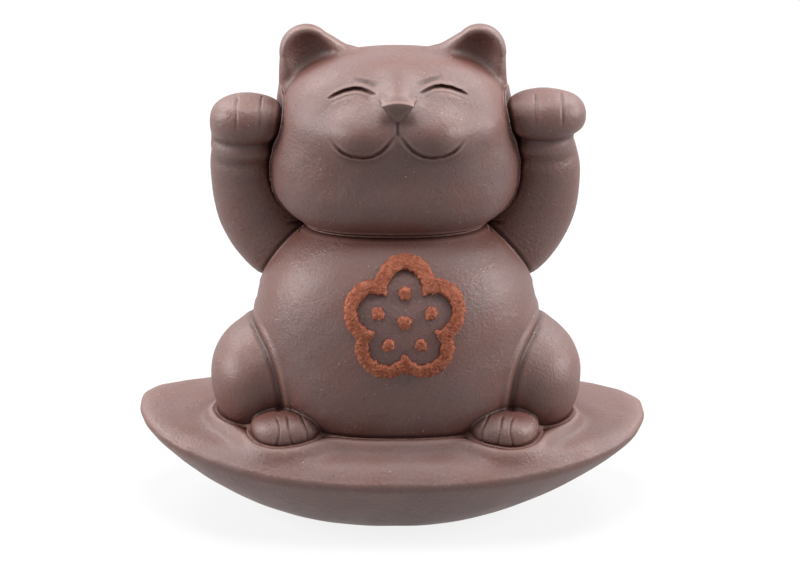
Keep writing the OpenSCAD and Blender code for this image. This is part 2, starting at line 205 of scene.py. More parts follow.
def along(u, v, points):
    """Distance in a plane to a line through points, and the share of the way along it."""
    best, where = None, None
    steps = len(points) - 1
    for i, (a, b) in enumerate(zip(points[:-1], points[1:])):
        du, dv = b[0] - a[0], b[1] - a[1]
        t = np.clip(((u - a[0]) * du + (v - a[1]) * dv) / (du * du + dv * dv), 0, 1)
        d = np.hypot(u - a[0] - t * du, v - a[1] - t * dv)
        if best is None:
            best, where = d, t / steps
        else:
            where = np.where(d < best, (i + t) / steps, where)
            best = np.minimum(best, d)
    return best, where


def dent(distance, width):
    """Depth share of a rounded groove at a distance from its middle."""
    return np.exp(-(distance / (width / 2)) ** 2)


def swell(t):
    """Share that grows from nothing at both ends of a line to one at its middle."""
    return np.clip(4 * t * (1 - t), 0, 1)


def height_of(line, out):
    """Height of a face line at a distance from the middle of the face."""
    return np.interp(out, [p[0] for p in line], [p[1] for p in line])


# Clay forms

def torso_form(x, y, z):
    """Round belly and back."""
    below_neck, half_h, right_swell, roundness = 17.8, 21.0, 0.4, 2.4
    middle = (0, (TORSO_LOW[1] + TORSO_HIGH[1]) / 2, TORSO_HIGH[2] - below_neck)
    half = (TORSO_HIGH[0] + np.where(x < 0, 0, right_swell), (TORSO_HIGH[1] - TORSO_LOW[1]) / 2, half_h)
    return rounded(x, y, z, middle, half, roundness)


def face_relief(x, y, z):
    """How far the front of the face is pressed in: lids, the pouches below them, brows and smile."""
    out = np.abs(x)
    level = z + SEEN_SLOPE * y - FACE_LEAN * x
    # The lid's upper edge is sharp, and below it the clay slopes out softly
    d, t = along(out, level, LID)
    taper = swell(t) ** 0.7
    sharp = LID_DEPTH * dent(d, 0.25)
    soft = LID_DEPTH * (2 * dent(d, 0.3 + 0.4 * taper) + dent(d, 1.8)) / 3
    relief = np.where(level > height_of(LID, out), sharp, soft) * taper
    d, t = along(out, level + POUCH_DROP, LID)
    relief = relief + POUCH_DEPTH * swell(t) * dent(d, 0.5)
    d, t = along(out, level, BROW)
    relief = relief + BROW_DEPTH * swell(t) ** 0.5 * dent(d, 0.8)
    d, t = along(out, z, SMILE)
    fade = np.clip(6 * (1 - t), 0, 1) * np.clip(4 * t, 0.1, 1)
    lip = np.where(z < height_of(SMILE, out), LIP_RISE * dent(d - 0.5, 0.5), 0)
    return relief + fade * (SMILE_DEPTH * dent(d, 0.42) - lip)


def head_form(x, y, z):
    """Crown, jowls, cheeks, muzzle pads and nose."""
    crown_z, face_y, nose_y = 62.2, -6.0, -14.0
    crown = rounded(x, y, z, (0, 0.5, crown_z), (17.7, 15.5, CROWN_Z - crown_z), 2.55)
    jowl = rounded(x, y, z, (0, -0.8, 55.4), (HEAD_HIGH[0], 16.4, 11.1), 2.4)
    d = blend(crown, jowl, 4.0)
    face = x - FACE_X
    out = np.abs(face)
    cheek = rounded(face, y, z, (0, -6.0, 63.3), (15.6, 12.5, 5.6), 2.0)
    d = blend(d, cheek, 4.0)
    bridge = limb((face, y, z), ((0, -9.5, 69.2, 2.3), (0, -15.8, 68.1, 2.1)))
    d = blend(d, bridge, 3.0)
    pad_x, pad_y, pad_z, pad_lean = 5.0, -13.4, 63.8, -0.1
    u, w = turned(out, z, (pad_x, pad_z), pad_lean)
    pad = rounded(u, y, w, (pad_x, pad_y, pad_z), (6.0, 6.0, 3.8), 2.1)
    d = blend(d, pad, 1.8)
    # The nose is a flat triangle that leans under its upper edge, with a short line below it
    nose_tip, nose_top, nose_front = 65.9, 69.5, -19.4
    nose_out, nose_up, nose_arch, nose_lean = 0.773, 0.636, 0.09, 0.4
    side = np.maximum(nose_out * out - nose_up * (z - nose_tip), z - nose_top + nose_arch * out ** 2)
    front = np.maximum(nose_front + nose_lean * (68.9 - z) - y, y - nose_y)
    d = blend(d, trim(side, front, 0.5), 0.4)
    lip = along(out, z, ((0, 66.0), (0, 64.3)))[0]
    d = np.where(y < nose_y, d + 0.16 * dent(lip, 0.55), d)
    # Soft furrow under the mouth, above the roll of the chin
    furrow_z, furrow_depth = 56.2, 0.35
    d = d + furrow_depth * dent(z - furrow_z, 6.0) * dent(out, 22) * np.clip((face_y - y) / 6, 0, 1)
    return np.where(y < face_y, d + face_relief(face, y, z), d)


def ear_form(x, y, z):
    """Scooped, round-cornered triangle; x is away from the middle."""
    tip_r, root_r, thick, middle_y, soft = 4.1, 2.5, 2.5, 2.7, 1.5
    tip = (13.9, EAR_HIGH[2] - tip_r - 0.9, tip_r)
    outer = (15.8, CROWN_Z - 8.0, root_r)
    inner = (8.1, CROWN_Z - 2.1, root_r)
    flat = limb((x, z), (inner, tip, outer, inner))
    deep = np.abs(y - middle_y) - thick
    d = np.hypot(np.maximum(flat + soft, 0), np.maximum(deep + soft, 0)) - soft
    d = d + np.minimum(np.maximum(flat + soft, deep + soft), 0)
    scoop = rounded(x, y, z, (13.2, -1.0, 72.6), (4.1, 2.9, 4.5), 2.0)
    return trim(d, -scoop, 0.9)


def arm_form(x, y, z, path, half, toes):
    """Raised arm with a mitten paw, toe lines and a creased wrist; x is away from the middle."""
    arm = limb((x, y, z), flowing(path, 7))
    toe_depth, crease_depth = 0.18, 0.3
    palm_x, palm_y, palm_z = path[-1][:3]
    paw = rounded(x, y, z, path[-1][:3], half, 2.4)
    d = blend(arm, paw, 1.6)
    for line in toes:
        toe, t = along(x, z, ((line, palm_z - 1.0), (line, palm_z + 3.4)))
        d = np.where(y < palm_y, d + toe_depth * np.clip(2 * t, 0, 1) * dent(toe, 0.45), d)
    # A roll of clay between two creases, on the front of the wrist
    front = np.clip((-1.5 - y) / 3, 0, 1)
    wrist = z - palm_z - 0.02 * (x - palm_x) ** 2
    crease = dent(wrist + 3.5, 1.5) - dent(wrist + 5.2, 1.8) + dent(wrist + 7.1, 2.0)
    return d + front * crease_depth * crease


def thigh_form(x, y, z):
    """Rounded haunch; x is away from the middle."""
    middle, knee_drop = (20.6, -3.0, 23.1), 3.0
    u, v = turned(x, y, middle, math.radians(14))
    low = np.where(z < middle[2], knee_drop * np.clip((middle[1] - v) / 6, 0, 1), 0)
    return rounded(u, v, z, middle, (8.2, 13.0, 8.2 + low), 2.05)


def foot_form(x, y, z, toes=(14.9, 17.3, 19.2)):
    """Small flat foot with lines between its toes; x is away from the middle."""
    middle, toe_depth, toe_y = (17.0, -15.2, 16.5), 0.17, -17.0
    u, v = turned(x, y, middle, math.radians(-15))
    d = rounded(u, v, z, middle, (5.4, 5.2, 3.0), 2.4)
    for line in toes:
        gap = np.abs(u - line - 0.3 * np.sin(0.9 * z + line))
        d = d + toe_depth * dent(gap, 0.4) * np.clip(toe_y - v, 0, 1)
    return d


def tail_form(x, y, z):
    """Tail curled on the seat behind."""
    return limb((x, y, z), flowing(TAIL_PATH))


def ingot_form(x, y, z):
    """Boat-shaped base with raised tips and a cushioned seat."""
    half_l = BASE_HIGH[0] + np.where(x < 0, 3.2, 2.5)
    half_d = BASE_HIGH[1] + 0.7
    foot_l, foot_d, n = np.where(x < 0, 18.3, 15.2), 15.0, 2.25
    rim_z, back_sag, seat_rise, rim_round, foot_round = 11.0, 1.5, 4.5, 3.0, 0.6
    rise = BASE_HIGH[2] - rim_z
    out = np.minimum(np.abs(x) / half_l, 1.2)
    rim = rim_z + np.where(x < 0, rise + 0.6, rise - 1.0) * out ** 2.5
    reach = (out ** n + (np.abs(y) / half_d) ** n) ** (1 / n)
    # The rim sags a little behind the cat
    rim = rim - back_sag * np.clip(y / half_d, 0, 1) * np.clip((reach - 0.7) / 0.3, 0, 1) ** 2
    share = np.clip(z / rim, 0, 1) ** 0.75
    a = foot_l + (half_l - foot_l) * share
    b = foot_d + (half_d - foot_d) * share
    k = ((np.abs(x) / a) ** n + (np.abs(y) / b) ** n + 1e-9) ** (1 / n)
    wall = (k - 1) * np.minimum(a, b) * 0.75
    seat = seat_rise * np.clip(1 - reach ** 6, 0, 1) * (1 - np.minimum(out, 1) ** 2)
    crease = 0.1 * dent((reach - 0.935) * half_d, 1.8)
    # The clay is pushed up into a soft lip where the cat was pressed on to it
    side = np.abs(x)
    cat = blend(torso_form(x, y, z), blend(thigh_form(side, y, z), foot_form(side, y, z, ()), 3), 3)
    lip = 1.5 * dent(np.maximum(cat - 1.0, 0), 3.0) - 0.6 * dent(cat, 1.2)
    d = trim(wall, z - rim - seat + crease - lip, rim_round)
    d = trim(d, -z, foot_round)
    # Recess for the slab that closes the foot: two half rounds, with room for slip
    straight, slip_room = 6.5, 0.15
    recess = np.hypot(np.maximum(side - straight, 0), y) - (SLAB_HIGH[1] + slip_room)
    return np.maximum(d, -np.maximum(recess, z - SLAB_HIGH[2]))


def hand_marks(x, y, z):
    """Slight unevenness left by the press mould and the potter's fingers."""
    a = np.sin(0.31 * x + 0.9) * np.sin(0.27 * y + 0.4) * np.sin(0.33 * z + 0.2)
    b = np.sin(0.83 * x - 0.6 * z + 1.7) * np.sin(0.71 * y + 0.5 * z)
    return 0.07 * a + 0.03 * b


# Each form, the CAD pieces that it stands for, and the size of its fillet to its neighbours
FORMS = {
    "torso": (torso_form, ("torso_front_shell", "torso_back_shell"), 0.5),
    "head": (head_form, ("face_shell", "head_back_shell"), 0.35),
    "left_ear": (lambda x, y, z: ear_form(-x, y, z), ("left_ear",), 1.5),
    "right_ear": (lambda x, y, z: ear_form(x + 0.6, y, z), ("right_ear",), 1.5),
    "left_thigh": (lambda x, y, z: thigh_form(-x, y, z), ("left_thigh",), 3.0),
    "right_thigh": (lambda x, y, z: thigh_form(x - 0.25, y, z), ("right_thigh",), 3.0),
    "left_foot": (lambda x, y, z: foot_form(-x, y, z), ("left_foot",), 0.4),
    "right_foot": (foot_form, ("right_foot",), 0.4),
    "left_arm": (
        lambda x, y, z: arm_form(-x, y, z, LEFT_ARM, (5.8, 5.8, 3.7), (20.6, 24.3)), ("left_arm",), 0.6),
    "right_arm": (
        lambda x, y, z: arm_form(x, y, z, RIGHT_ARM, (6.4, 5.8, 3.8), (21.6, 25.7)), ("right_arm",), 0.6),
    "tail": (tail_form, ("tail",), 0.8),
    "ingot": (ingot_form, ("ingot_shell",), 0.5),
}
# Joint lines that show: two forms, depth and width of the groove, then rise, place and width of the welt
# that lies beside it on the first form, and the height where the line fades out, if it does before 99
JOINT_LINES = (
    ("head", "left_arm", 0.4, 0.7, 0.4, 0.75, 0.6, 99),
    ("head", "right_arm", 0.4, 0.7, 0.4, 0.75, 0.6, 99),
    ("head", "torso", 0.3, 0.8, 0.2, 0.6, 0.7, 99),
    ("torso", "left_arm", 0.25, 0.8, 0.12, 0.8, 0.8, 99),
    ("torso", "right_arm", 0.25, 0.8, 0.12, 0.8, 0.8, 99),
    ("torso", "left_thigh", 0.35, 1.5, 0.2, 1.7, 1.4, 34),
    ("torso", "right_thigh", 0.35, 1.5, 0.2, 1.7, 1.4, 34),
)
# How far outside its CAD pieces a form is still looked for
REACH = 4.0
# Patches of skin with fewer faces than this are crumbs, and not a piece
SPECK = 100
# How far a piece runs on under the skin of its neighbour, so that no crack opens along a joint
UNDER = 0.25
# How fast its skin sinks there
SINK = 0.25
# Steps over which a slope is measured, to move points and to shade them
MOVE_STEP, SHADE_STEP = 0.02, 0.04


def near(low, high):
    """Names of the forms that come near a box."""
    names = []
    for name, (_, nodes, _) in FORMS.items():
        form_low, form_high = span(*nodes)
        if np.all(form_low - REACH < high) and np.all(form_high + REACH > low):
            names.append(name)
    return names


def figure(x, y, z, names):
    """Distance to the whole figure near here, and to each form."""
    each = {name: FORMS[name][0](x, y, z) for name in names}
    whole = None
    for name in names:
        whole = each[name] if whole is None else blend(whole, each[name], FORMS[name][2])
    for one, other, groove, wide, rise, away, broad, top in JOINT_LINES:
        if one in each and other in each:
            apart = each[other] - each[one]
            close = np.clip(2 - (np.abs(each[one]) + np.abs(each[other])) / 2, 0, 1)
            line = groove * dent(apart, wide) - rise * dent(apart - away, broad)
            whole = whole + line * close * np.clip((top - z) / 3, 0, 1)
    return whole + hand_marks(x, y, z), each


def share_of(own, names, side="all"):
    """Field of one piece: distance to the figure's skin, and to the joints with its neighbours."""
    gap = (SEAM_HIGH[1] - SEAM_LOW[1]) / 2
    cuts = {
        "all": lambda y: -FAR,
        "front": lambda y: y - SEAM_Y + gap,
        "back": lambda y: SEAM_Y + gap - y,
        "seam": lambda y: np.abs(y - SEAM_Y) - gap,
    }

    def field(x, y, z):
        whole, each = figure(x, y, z, names)
        rest = np.full(np.shape(whole), FAR)
        for name in names:
            if name != own:
                rest = np.minimum(rest, each[name])
        joint = np.maximum(each[own] - rest, cuts[side](y))
        return whole + SINK * np.maximum(joint, 0), joint - UNDER

    return field


# Skinning

def sampled(field, low, high, cell):
    """Field on a grid; blocks of it that lie far from the skin hold one rough value."""
    side, batch, safe = 4, 6000, 1.2
    blocks = [int(math.ceil((b - a) / (side * c))) + 1 for a, b, c in zip(low, high, cell)]
    axes = [a + c * np.arange(side * n) for a, n, c in zip(low, blocks, cell)]
    rough = np.maximum(*field(*np.meshgrid(*[a.reshape(-1, side).mean(1) for a in axes], indexing="ij")))
    values = rough.astype(np.float32)
    for axis in range(3):
        values = np.repeat(values, side, axis)
    busy = np.argwhere(np.abs(rough) < safe * side * np.linalg.norm(cell))
    offsets = np.stack(np.meshgrid(*[np.arange(side)] * 3, indexing="ij"), -1).reshape(-1, 3)
    for start in range(0, len(busy), batch):
        at = (busy[start:start + batch, None, :] * side + offsets).reshape(-1, 3).T
        values[tuple(at)] = np.maximum(*field(*[a[i] for a, i in zip(axes, at)]))
    while open_crossings(values):
        pass
    return values, axes


def open_crossings(values):
    """Parts the clay where two corners of a grid square touch only crosswise; says how many did."""
    found = 0
    for i, j in ((0, 1), (0, 2), (1, 2)):
        plane = np.moveaxis(values, (i, j), (0, 1))
        clay = plane < 0
        a, b, c, d = clay[:-1, :-1], clay[1:, :-1], clay[:-1, 1:], clay[1:, 1:]
        crossed = np.argwhere((a == d) & (b == c) & (a != b))
        found += len(crossed)
        for p, q, r in crossed:
            pairs = ((p, q, r), (p + 1, q + 1, r)), ((p + 1, q, r), (p, q + 1, r))
            for pair in pairs:
                if all(plane[at] < 0 for at in pair):
                    thin = max(pair, key=lambda at: plane[at])
                    plane[thin] = -plane[thin]
                    break
    return found


def skin(field, low, high, cell):
    """Points and four-sided faces where a field crosses zero, one point to each crossed cell."""
    cell = np.broadcast_to(np.asarray(cell, float), 3)
    values, axes = sampled(field, low, high, cell)
    shape = values.shape
    inside = values < 0
    corners = [
        inside[i:shape[0] - 1 + i, j:shape[1] - 1 + j, k:shape[2] - 1 + k]
        for i in (0, 1) for j in (0, 1) for k in (0, 1)
    ]
    filled = np.sum(corners, axis=0, dtype=np.int8)
    cells = np.argwhere((filled > 0) & (filled < 8))
    number = np.full([s - 1 for s in shape], -1, np.int64)
    number[tuple(cells.T)] = np.arange(len(cells))

    total = np.zeros((len(cells), 3))
    count = np.zeros(len(cells))
    for axis in range(3):
        others = [a for a in range(3) if a != axis]
        for i in (0, 1):
            for j in (0, 1):
                at = cells.copy()
                at[:, others[0]] += i
                at[:, others[1]] += j
                to = at.copy()
                to[:, axis] += 1
                a, b = values[tuple(at.T)], values[tuple(to.T)]
                hit = (a < 0) != (b < 0)
                t = a[hit] / (a[hit] - b[hit])
                spot = at[hit].astype(float)
                spot[:, axis] += t
                total[hit] += spot
                count[hit] += 1
    points = np.array([a[0] for a in axes]) + total / count[:, None] * cell

    faces = []
    for axis in range(3):
        j, k = (axis + 1) % 3, (axis + 2) % 3
        a = np.take(inside, np.arange(shape[axis] - 1), axis)
        b = np.take(inside, np.arange(1, shape[axis]), axis)
        at = np.argwhere(a != b)
        at = at[(at[:, j] > 0) & (at[:, j] < shape[j] - 1) & (at[:, k] > 0) & (at[:, k] < shape[k] - 1)]
        ring = []
        for dj, dk in ((-1, -1), (0, -1), (0, 0), (-1, 0)):
            around = at.copy()
            around[:, j] += dj
            around[:, k] += dk
            ring.append(number[tuple(around.T)])
        ring = np.stack(ring, axis=1)
        back = ~a[tuple(at.T)]
        ring[back] = ring[back][:, ::-1]
        faces.append(ring)
    return without_specks(points, np.concatenate(faces))


def without_specks(points, faces):
    """Points and faces of the skin, less the specks of it that lie loose or hang on by a corner."""
    ends = np.stack([faces, np.roll(faces, -1, axis=1)], axis=-1)
    edges = np.unique(ends.min(-1) * len(points) + ends.max(-1), return_inverse=True)[1].reshape(-1, 4)
    # Every patch of skin takes the number of its first face, passed on from edge to edge
    group, last = np.arange(len(faces)), None
    while not np.array_equal(group, last):
        last = group
        lowest = np.full(edges.max() + 1, len(faces))
        np.minimum.at(lowest, edges.ravel(), np.repeat(group, 4))
        group = lowest[edges].min(axis=1)
        group = group[group]
    faces = faces[np.bincount(group)[group] >= SPECK]
    used, faces = np.unique(faces, return_inverse=True)
    return points[used], faces.reshape(-1, 4)


def slopes(field, points, step):
    """Slope of both parts of a field at points."""
    out = []
    for axis in range(3):
        pair = []
        for sign in (1, -1):
            at = points.copy()
            at[:, axis] += sign * step
            pair.append(field(*at.T))
        out.append([(a - b) / (2 * step) for a, b in zip(*pair)])
    return [np.stack([o[i] for o in out], axis=1) for i in (0, 1)]


def unit(rows):
    """Rows scaled to length one."""
    return rows / np.maximum(np.linalg.norm(rows, axis=1, keepdims=True), 1e-9)


def settle(field, points, cell):
    """Moves points onto the skin, onto a joint, or onto the edge where the two meet."""
    reach, least_turn = 0.55 * cell, 0.1
    for _ in range(2):
        f, g = field(*points.T)
        df, dg = slopes(field, points, MOVE_STEP)
        ff = np.maximum((df ** 2).sum(1), 1e-3)
        gg = np.maximum((dg ** 2).sum(1), 1e-3)
        fg = (df * dg).sum(1)
        room = ff * gg - fg * fg
        edge = (np.abs(f) < reach * np.sqrt(ff)) & (np.abs(g) < reach * np.sqrt(gg))
        edge = edge & (room > least_turn * ff * gg)
        one = np.where((f > g)[:, None], -df * (f / ff)[:, None], -dg * (g / gg)[:, None])
        room = np.where(edge, room, 1)
        p = (fg * g - gg * f) / room
        q = (fg * f - ff * g) / room
        move = np.where(edge[:, None], df * p[:, None] + dg * q[:, None], one)
        size = np.sqrt((move ** 2).sum(1))
        points = points + move * np.minimum(1, cell / np.maximum(size, 1e-9))[:, None]
    return points


def exposure(points, normals, names):
    """How each point bends, from -1 in a crease to 1 on a rubbed edge, and how closed in it is, up to 1."""
    step = 0.7
    total = -6 * figure(*points.T, names)[0]
    for axis in range(3):
        for sign in (1, -1):
            at = points.copy()
            at[:, axis] += sign * step
            total = total + figure(*at.T, names)[0]
    # The crease end of this bend becomes painted shade in the clay's colour, the edge end rubbed pale clay
    shade_and_wear_per_bend = 0.7
    wear_and_crease_shade = np.clip(shade_and_wear_per_bend * total / step ** 2, -1, 1)
    # Room in front of the point and slantwise to four sides of it; where little is open, shade is painted
    # on the clay
    far = 6.0
    side = unit(np.cross(normals, (0.36, 0.48, 0.8)))
    up = np.cross(normals, side)
    room = 0
    for lean in (0 * up, up, -up, side, -side):
        way = unit(normals + lean)
        open_way = far * (way * normals).sum(1)
        room = room + np.clip(figure(*(points + far * way).T, names)[0] / open_way, 0, 1)
    return {"wear_and_crease_shade": wear_and_crease_shade, "occlusion_shade": 1 - room / 5}


def mesh_object(name, points, faces, normals, marks):
    """New object from points in millimetres and four-sided faces, shaded by the form's own slope."""
    mesh = bpy.data.meshes.new(name)
    mesh.vertices.add(len(points))
    mesh.vertices.foreach_set("co", (points * MM).astype(np.float32).ravel())
    mesh.loops.add(4 * len(faces))
    mesh.loops.foreach_set("vertex_index", faces.astype(np.int32).ravel())
    mesh.polygons.add(len(faces))
    mesh.polygons.foreach_set("loop_start", np.arange(0, 4 * len(faces), 4, dtype=np.int32))
    mesh.update(calc_edges=True)
    mesh.validate()
    mesh.polygons.foreach_set("use_smooth", np.ones(len(mesh.polygons), bool))
    mesh.normals_split_custom_set_from_vertices(normals)
    for key, values in marks.items():
        mesh.attributes.new(key, "FLOAT", "POINT").data.foreach_set("value", values.astype(np.float32))
    obj = bpy.data.objects.new(name, mesh)
    bpy.context.collection.objects.link(obj)
    return obj


def fine(cell):
    return cell


def shaped(node, own, cell, side):
    """Points, faces, normals and marks of the part of the figure that a CAD node stands for."""
    low, high = span(node)
    margin = np.array((2.0, 2.0, 2.0) if side != "seam" else (2.0, 0.3, 2.0))
    names = near(low - margin, high + margin)
    share = share_of(own, names, side)
    # The piece is cut off flat just above the floor of its grid, which closes its underside
    bottom = low[2] - 0.95 * margin[2]

    def field(x, y, z):
        skin_d, joint_d = share(x, y, z)
        return skin_d, np.maximum(joint_d, bottom - z)

    points, faces = skin(field, low - margin, high + margin, cell)
    points = settle(field, points, np.min(cell))
    whole = slopes(lambda x, y, z: (figure(x, y, z, names)[0], field(x, y, z)[1]), points, SHADE_STEP)
    f, g = field(*points.T)
    on_skin = f > g - 0.1
    normals = unit(np.where(on_skin[:, None], *whole))
    return points, faces, normals, exposure(points, normals, names)


def clay_piece(node, own, cell, side="all"):
    """One clay piece, in the place of its CAD node."""
    obj = mesh_object(node + "_clay", *shaped(node, own, fine(cell), side))
    finish(obj, stoneware, "dark_clay", node)


def bead_skin(field, low, high, cell):
    """Points, faces and normals of a bead of slip; its own skin is all that it has."""
    def alone(x, y, z):
        d = field(x, y, z)
        return d, np.full_like(d, -FAR)

    points, faces = skin(alone, low, high, cell)
    points = settle(alone, points, np.min(cell))
    return points, faces, unit(slopes(alone, points, SHADE_STEP)[0]), {}


def finish(obj, look, slot, *nodes):
    """Gives a piece its material and its body, and hides the CAD nodes that it stands for."""
    if look:
        obj.data.materials.append(material(look))
    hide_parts(*nodes)
    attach(obj, BODY)


# Materials

def add(tree, kind, inputs=None, **settings):
    """New node with its settings; inputs are values or the sockets that feed them."""
    node = tree.nodes.new(kind)
    for key, value in settings.items():
        setattr(node, key, value)
    for key, value in (inputs or {}).items():
        if isinstance(value, bpy.types.NodeSocket):
            tree.links.new(value, node.inputs[key])
        else:
            node.inputs[key].default_value = value
    return node


def per_mm(size):
    """Texture scale for features of a size in millimetres, on Object coordinates in metres."""
    return 1 / (size * MM)


# Sockets of a colour mix node
MIX_A, MIX_B, MIX_OUT = 6, 7, 2


def stoneware(tree, colours):
    """Unglazed purple stoneware, pressed in a mould, wiped smooth and fired slowly.

    Matt, with a soft satin where wet fingers burnished it. Grey-mauve where the kiln's fire swept it;
    painted shade makes it redder and darker where the figure closes in and darkens its creases; pale rubbed
    edges, pin holes, fine grit and clusters of sand.
    """
    place = add(tree, "ShaderNodeTexCoord").outputs["Object"]
    # Size in millimetres, detail, roughness and distortion of each kind of unevenness; the grit is drawn a
    # little coarser than the real clay's, so that it shows
    noises = ((9, 5.0, 0.6, 0.0), (6, 3.0, 0.6, 0.0), (0.45, 3.0, 0.7, 0.0), (0.6, 2.0, 0.5, 0.6))
    cloud, patch, grit, grain = [
        add(tree, "ShaderNodeTexNoise", {
            "Vector": place, "Scale": per_mm(size), "Detail": detail, "Roughness": rough,
            "Distortion": bent}).outputs["Fac"]
        for size, detail, rough, bent in noises]
    wear_and_crease_shade, occlusion_shade = [
        add(tree, "ShaderNodeAttribute", attribute_name=mark).outputs["Fac"]
        for mark in ("wear_and_crease_shade", "occlusion_shade")]
    shifted = add(tree, "ShaderNodeMapping", {"Vector": place, "Location": (0.31, 0.17, 0.23)})
    hole = add(tree, "ShaderNodeTexVoronoi", {"Vector": shifted.outputs["Vector"], "Scale": per_mm(2.2)})
    middle = (BLOSSOM_LOW + BLOSSOM_HIGH) / 2 * MM
    away = add(tree, "ShaderNodeVectorMath", {0: place, 1: tuple(middle)}, operation="DISTANCE")
    # What each look hangs on, the range of it that counts, and what it gives at the two ends
    ranges = {
        "clouds": (cloud, 0.36, 0.62, 0.0, 1.0),
        "satin": (cloud, 0.3, 0.7, 0.42, 0.56),
        # How much painted shade falls where the figure closes in
        "closed": (occlusion_shade, 0.25, 0.7, 0.0, 0.75),
        "grits": (grit, 0.3, 0.7, 0.84, 1.16),
        # How much painted shade falls in the creases
        "creases": (wear_and_crease_shade, -0.05, -0.8, 0.0, 0.75),
        "edges": (wear_and_crease_shade, 0.15, 0.8, 0.0, 0.35),
        "clusters": (patch, 0.42, 0.66, 0.02, 0.11),
        "open_skin": (patch, 0.5, 0.62, 0.0, 1.0),
        "tooled": (away.outputs["Value"], 9 * MM, 15 * MM, 1.0, 0.0),
        "holes": (hole.outputs["Distance"], 0.07, 0.03, 0.0, 1.0),
    }
    ends = ("Value", "From Min", "From Max", "To Min", "To Max")
    given = {
        name: add(tree, "ShaderNodeMapRange", dict(zip(ends, values))).outputs["Result"]
        for name, values in ranges.items()}
    # Pale sand grains, at most one to a cell of 0.9 mm, where clusters of them lie
    sand = add(tree, "ShaderNodeTexVoronoi", {"Vector": place, "Scale": per_mm(0.9)})
    sands = add(tree, "ShaderNodeMath", {0: sand.outputs["Distance"], 1: given["clusters"]},
                operation="LESS_THAN")
    # Layers of colour on the clay, from the lowest up: how much of each shows, what it is and how it lies
    layers = (
        (given["clouds"], (*colours.clay_mauve, 1), "MIX"),
        # Painted shade: redder, darker clay where the figure closes in on itself
        (given["closed"], (*colours.clay_painted_shade, 1), "MIX"),
        (1.0, given["grits"], "MULTIPLY"),
        # Painted shade darkens the creases
        (given["creases"], (*colours.clay_pits_and_crease_shade, 1), "MIX"),
        (given["edges"], (*colours.clay_pale, 1), "MIX"),
        (sands.outputs["Value"], (*colours.clay_sand, 1), "MIX"),
        (given["holes"], (*colours.clay_pits_and_crease_shade, 1), "MIX"),
    )
    colour = (*colours.clay, 1)
    for share, layer, way in layers:
        colour = add(tree, "ShaderNodeMix", {"Factor": share, MIX_A: colour, MIX_B: layer},
                     data_type="RGBA", blend_type=way).outputs[MIX_OUT]
    # The skin is open and grainy in patches, and tooled all round the blossom
    grainy = add(tree, "ShaderNodeMath", {0: given["open_skin"], 1: given["tooled"]}, operation="MAXIMUM")
    raised = add(tree, "ShaderNodeMath", {0: grain, 1: grainy.outputs["Value"], 2: grit},
                 operation="MULTIPLY_ADD")
    height = add(tree, "ShaderNodeMath", {0: raised.outputs["Value"], 1: given["holes"]},
                 operation="SUBTRACT")
    bump = add(tree, "ShaderNodeBump", {
        "Height": height.outputs["Value"], "Strength": 0.65, "Distance": 0.15 * MM})
    return add(tree, "ShaderNodeBsdfPrincipled", {
        "Base Color": colour, "Roughness": given["satin"], "IOR": 1.6, "Normal": bump.outputs["Normal"]})


def sandy_slip(tree, colours):
    """Liquid clay with fine sand, pressed out of the joints: the body's clay, paler and drier."""
    place = add(tree, "ShaderNodeTexCoord").outputs["Object"]
    sand = add(tree, "ShaderNodeTexNoise", {
        "Vector": place, "Scale": per_mm(0.5), "Detail": 4.0, "Roughness": 0.75})
    sands = add(tree, "ShaderNodeMapRange", {
        "Value": sand.outputs["Fac"], "From Min": 0.35, "From Max": 0.68})
    colour = add(tree, "ShaderNodeMix", {
        "Factor": sands.outputs["Result"],
        MIX_A: (*colours.clay, 1), MIX_B: (*colours.slip, 1)}, data_type="RGBA")
    bump = add(tree, "ShaderNodeBump", {
        "Height": sand.outputs["Fac"], "Strength": 0.5, "Distance": 0.1 * MM})
    return add(tree, "ShaderNodeBsdfPrincipled", {
        "Base Color": colour.outputs[MIX_OUT], "Roughness": 0.68, "IOR": 1.5,
        "Normal": bump.outputs["Normal"]})


def coarse_red_clay(tree, colours):
    """Coarse iron-red clay laid on in relief: dry, open and sandy, with darker and paler grains."""
    place = add(tree, "ShaderNodeTexCoord").outputs["Object"]
    grain = add(tree, "ShaderNodeTexVoronoi", {"Vector": place, "Scale": per_mm(0.4)})
    tone = add(tree, "ShaderNodeSeparateColor", {"Color": grain.outputs["Color"]})
    colour = add(tree, "ShaderNodeMix", {
        "Factor": tone.outputs["Red"],
        MIX_A: (*colours.red_clay, 1), MIX_B: (*colours.red_clay_pale, 1)}, data_type="RGBA")
    stain = add(tree, "ShaderNodeTexNoise", {
        "Vector": place, "Scale": per_mm(3.0), "Detail": 4.0, "Roughness": 0.6})
    stains = add(tree, "ShaderNodeMapRange", {
        "Value": stain.outputs["Fac"], "From Min": 0.4, "From Max": 0.75, "To Min": 1.0, "To Max": 0.72})
    stained = add(tree, "ShaderNodeMix", {
        "Factor": 1.0, MIX_A: colour.outputs[MIX_OUT], MIX_B: stains.outputs["Result"]},
        data_type="RGBA", blend_type="MULTIPLY")
    bump = add(tree, "ShaderNodeBump", {
        "Height": grain.outputs["Distance"], "Strength": 0.6, "Distance": 0.12 * MM})
    return add(tree, "ShaderNodeBsdfPrincipled", {
        "Base Color": stained.outputs[MIX_OUT], "Roughness": 0.82, "IOR": 1.5,
        "Normal": bump.outputs["Normal"]})


def shown(tree, eye, other):
    """One value for rays to the eye, also by a mirror or through glass, and another for all other light."""
    ray = add(tree, "ShaderNodeLightPath")
    seen = add(tree, "ShaderNodeMath", {0: ray.outputs["Is Camera Ray"], 1: ray.outputs["Is Glossy Ray"]},
               operation="MAXIMUM")
    seen = add(tree, "ShaderNodeMath", {0: seen.outputs["Value"], 1: ray.outputs["Is Transmission Ray"]},
               operation="MAXIMUM")
    return add(tree, "ShaderNodeMapRange", {"Value": seen.outputs["Value"], "To Min": other, "To Max": eye})


